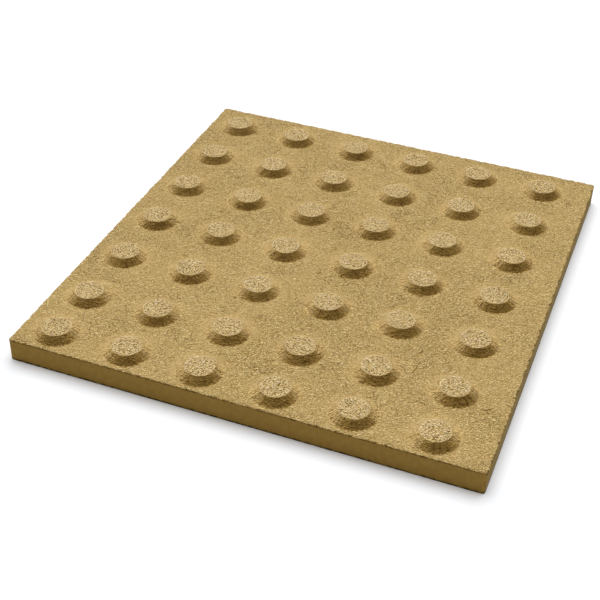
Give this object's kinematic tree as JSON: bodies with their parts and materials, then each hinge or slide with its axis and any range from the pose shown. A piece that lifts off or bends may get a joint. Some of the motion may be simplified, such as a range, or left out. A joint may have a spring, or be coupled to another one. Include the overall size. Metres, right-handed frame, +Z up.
{
  "type": "tactile paving slab",
  "caption": "Buff concrete tactile paving slab with flat-topped blisters in straight rows and columns, laid flat as a warning surface that is felt underfoot.",
  "frame": {"origin": "middle of the underside", "axes": "+X to the right along the front edge, +Y to the back along the longer side, +Z up through the blisters"},
  "size_m": [0.4, 0.434, 0.0259],
  "materials": {
    "concrete": "matt buff concrete, fine wrinkled grain on top, pitted blister tops, smooth cast sides"
  },
  "bodies": {
    "root": {"paving_slab": "concrete"}
  },
  "joints": []
}
